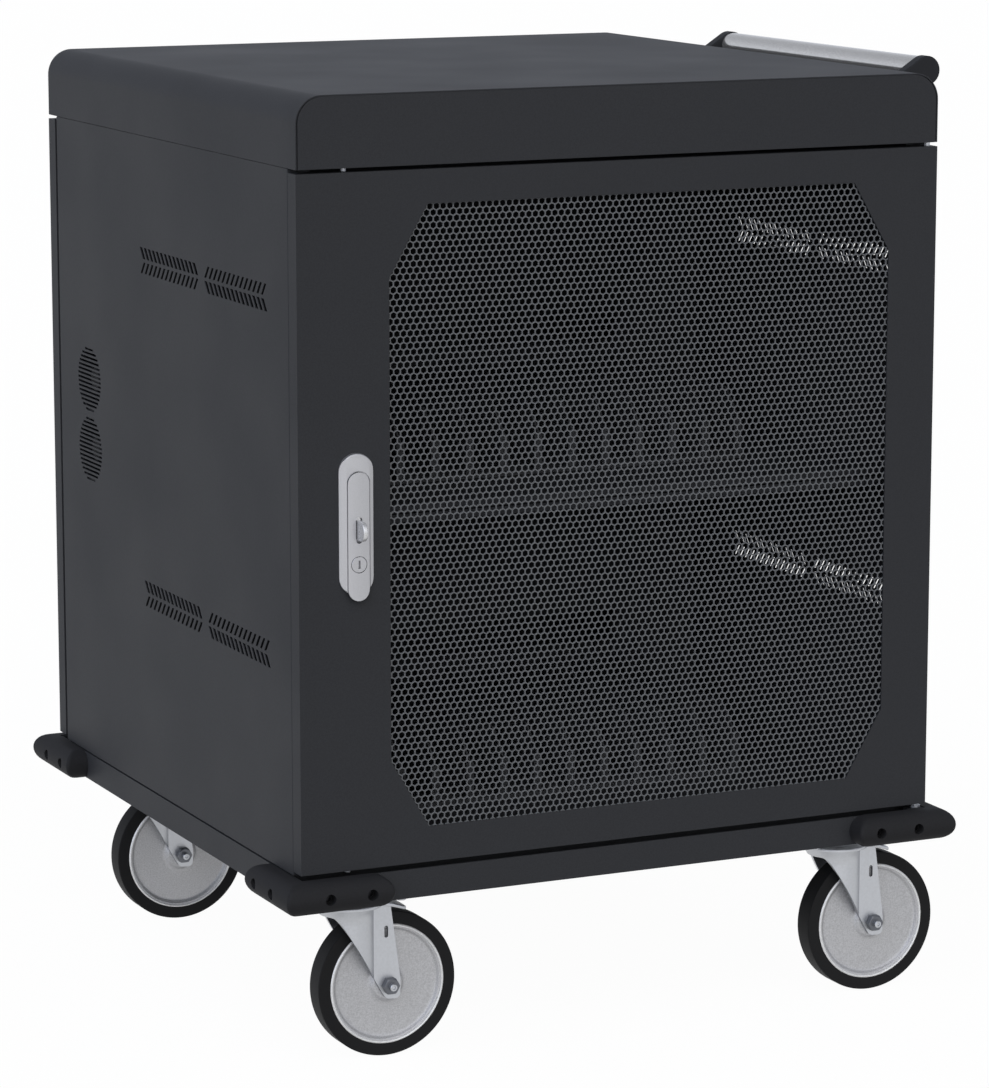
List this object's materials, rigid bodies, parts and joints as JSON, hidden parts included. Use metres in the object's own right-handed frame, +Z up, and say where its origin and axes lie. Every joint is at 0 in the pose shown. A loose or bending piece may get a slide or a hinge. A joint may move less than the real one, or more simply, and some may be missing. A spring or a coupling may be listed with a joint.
{
  "type": "laptop charging cart",
  "caption": "Sheet-metal cart on swivel casters with a perforated lockable door, racks of upright device bays, a rear power compartment, vents, a pull handle and corner bumpers.",
  "frame": {"origin": "on the floor under the middle of the whole cart, handle and bumpers included", "axes": "+X to the handle's side, +Y to the rear, +Z up; the perforated door faces -Y"},
  "size_m": [0.682, 0.639, 0.8315],
  "materials": {
    "body_paint": "fine-textured dark grey powder coat",
    "door_paint": "fine-textured charcoal powder coat",
    "inner_paint": "dark grey powder coat",
    "bumper_rubber": "matt black moulded rubber",
    "black_plastic": "matt black moulded plastic",
    "tube_aluminium": "brushed aluminium tube",
    "lock_steel": "satin silver casting",
    "zinc_steel": "bright zinc plating",
    "wheel_plastic": "grey moulded wheel centre",
    "tyre_rubber": "black rubber tread"
  },
  "bodies": {
    "cart": {"base_tray": "body_paint", "cabinet_floor": "inner_paint", "side_panel_left": "body_paint", "side_panel_right": "body_paint", "top_cover": "body_paint", "top_front_panel": "door_paint", "top_rear_panel": "door_paint", "roof_panel": "inner_paint", "front_hinge_pin_upper": "zinc_steel", "front_hinge_pin_lower": "zinc_steel", "rear_hinge_pin_upper": "zinc_steel", "rear_hinge_pin_lower": "zinc_steel", "middle_shelf": "inner_paint", "divider_rack_upper": "black_plastic", "divider_rack_lower": "black_plastic", "rear_partition": "inner_paint", "power_strip_upper": "black_plastic", "power_strip_lower": "black_plastic", "fan_frame_upper": "black_plastic", "fan_frame_lower": "black_plastic", "power_inlet": "black_plastic", "handle_tube": "tube_aluminium", "handle_bracket_front": "black_plastic", "handle_bracket_rear": "black_plastic", "bumper_front_left": "bumper_rubber", "bumper_front_right": "bumper_rubber", "bumper_rear_left": "bumper_rubber", "bumper_rear_right": "bumper_rubber", "caster_front_left_plate": "zinc_steel", "caster_front_right_plate": "zinc_steel", "caster_rear_left_plate": "zinc_steel", "caster_rear_right_plate": "zinc_steel"},
    "front_door": {"front_door_skin": "door_paint", "front_door_mesh": "door_paint", "lock_plate": "lock_steel"},
    "lock_turntable": {"lock_turntable": "lock_steel"},
    "lock_lever": {"lock_lever": "lock_steel"},
    "key_cylinder": {"key_cylinder": "lock_steel"},
    "lock_rod_upper": {"lock_rod_upper": "zinc_steel"},
    "lock_rod_lower": {"lock_rod_lower": "zinc_steel"},
    "rear_door": {"rear_door_skin": "body_paint"},
    "rear_lock": {"rear_lock": "lock_steel"},
    "fan_rotor_upper": {"fan_rotor_upper": "black_plastic"},
    "fan_rotor_lower": {"fan_rotor_lower": "black_plastic"},
    "caster_front_left": {"caster_front_left_fork": "zinc_steel", "caster_front_left_axle": "zinc_steel"},
    "caster_front_left_roller": {"caster_front_left_wheel": "wheel_plastic", "caster_front_left_tyre": "tyre_rubber"},
    "caster_front_right": {"caster_front_right_fork": "zinc_steel", "caster_front_right_axle": "zinc_steel"},
    "caster_front_right_roller": {"caster_front_right_wheel": "wheel_plastic", "caster_front_right_tyre": "tyre_rubber"},
    "caster_rear_left": {"caster_rear_left_fork": "zinc_steel", "caster_rear_left_axle": "zinc_steel"},
    "caster_rear_left_roller": {"caster_rear_left_wheel": "wheel_plastic", "caster_rear_left_tyre": "tyre_rubber"},
    "caster_rear_right": {"caster_rear_right_fork": "zinc_steel", "caster_rear_right_axle": "zinc_steel"},
    "caster_rear_right_roller": {"caster_rear_right_wheel": "wheel_plastic", "caster_rear_right_tyre": "tyre_rubber"}
  },
  "joints": [
    {"name": "front_door_swing", "type": "hinge", "parent": "cart", "child": "front_door", "pos_m": [0.2743, -0.2899, 0.47], "axis": [0, 0, 1], "range_deg": [0, 120]},
    {"name": "rear_door_swing", "type": "hinge", "parent": "cart", "child": "rear_door", "pos_m": [0.2743, 0.2899, 0.47], "axis": [0, 0, -1], "range_deg": [0, 120]},
    {"name": "lock_turn", "type": "hinge", "parent": "front_door", "child": "lock_turntable", "pos_m": [-0.2685, -0.2985, 0.506], "axis": [0, -1, 0], "range_deg": [0, 90]},
    {"name": "lever_lift", "type": "hinge", "parent": "lock_turntable", "child": "lock_lever", "pos_m": [-0.2685, -0.3057, 0.506], "axis": [-1, 0, 0], "range_deg": [0, 40]},
    {"name": "key_turn", "type": "hinge", "parent": "lock_lever", "child": "key_cylinder", "pos_m": [-0.2685, -0.3103, 0.4385], "axis": [0, -1, 0], "range_deg": [0, 90]},
    {"name": "lock_rod_upper_slide", "type": "slide", "parent": "front_door", "child": "lock_rod_upper", "axis": [0, 0, -1], "range_m": [0, 0.012]},
    {"name": "lock_rod_lower_slide", "type": "slide", "parent": "front_door", "child": "lock_rod_lower", "axis": [0, 0, 1], "range_m": [0, 0.012]},
    {"name": "rear_lock_turn", "type": "hinge", "parent": "rear_door", "child": "rear_lock", "pos_m": [-0.285, 0.2985, 0.46975], "axis": [0, -1, 0], "range_deg": [0, 90]},
    {"name": "fan_upper_spin", "type": "hinge", "parent": "cart", "child": "fan_rotor_upper", "pos_m": [-0.305, 0.1993, 0.5294], "axis": [1, 0, 0], "continuous": true},
    {"name": "fan_lower_spin", "type": "hinge", "parent": "cart", "child": "fan_rotor_lower", "pos_m": [-0.305, 0.1993, 0.4646], "axis": [1, 0, 0], "continuous": true},
    {"name": "caster_front_left_swivel", "type": "hinge", "parent": "cart", "child": "caster_front_left", "pos_m": [-0.257, -0.2482, 0.14], "axis": [0, 0, 1], "continuous": true},
    {"name": "caster_front_left_roll", "type": "hinge", "parent": "caster_front_left", "child": "caster_front_left_roller", "pos_m": [-0.225, -0.2482, 0.0635], "axis": [0, 1, 0], "continuous": true},
    {"name": "caster_front_right_swivel", "type": "hinge", "parent": "cart", "child": "caster_front_right", "pos_m": [0.217, -0.2482, 0.14], "axis": [0, 0, 1], "continuous": true},
    {"name": "caster_front_right_roll", "type": "hinge", "parent": "caster_front_right", "child": "caster_front_right_roller", "pos_m": [0.249, -0.2482, 0.0635], "axis": [0, 1, 0], "continuous": true},
    {"name": "caster_rear_left_swivel", "type": "hinge", "parent": "cart", "child": "caster_rear_left", "pos_m": [-0.257, 0.2398, 0.14], "axis": [0, 0, 1], "continuous": true},
    {"name": "caster_rear_left_roll", "type": "hinge", "parent": "caster_rear_left", "child": "caster_rear_left_roller", "pos_m": [-0.225, 0.2398, 0.0635], "axis": [0, 1, 0], "continuous": true},
    {"name": "caster_rear_right_swivel", "type": "hinge", "parent": "cart", "child": "caster_rear_right", "pos_m": [0.217, 0.2398, 0.14], "axis": [0, 0, 1], "continuous": true},
    {"name": "caster_rear_right_roll", "type": "hinge", "parent": "caster_rear_right", "child": "caster_rear_right_roller", "pos_m": [0.249, 0.2398, 0.0635], "axis": [0, 1, 0], "continuous": true}
  ],
  "couplings": [
    {"joint": "lock_rod_upper_slide", "follows": "lock_turn", "m_per_rad": 0.0076394},
    {"joint": "lock_rod_lower_slide", "follows": "lock_turn", "m_per_rad": 0.0076394}
  ]
}
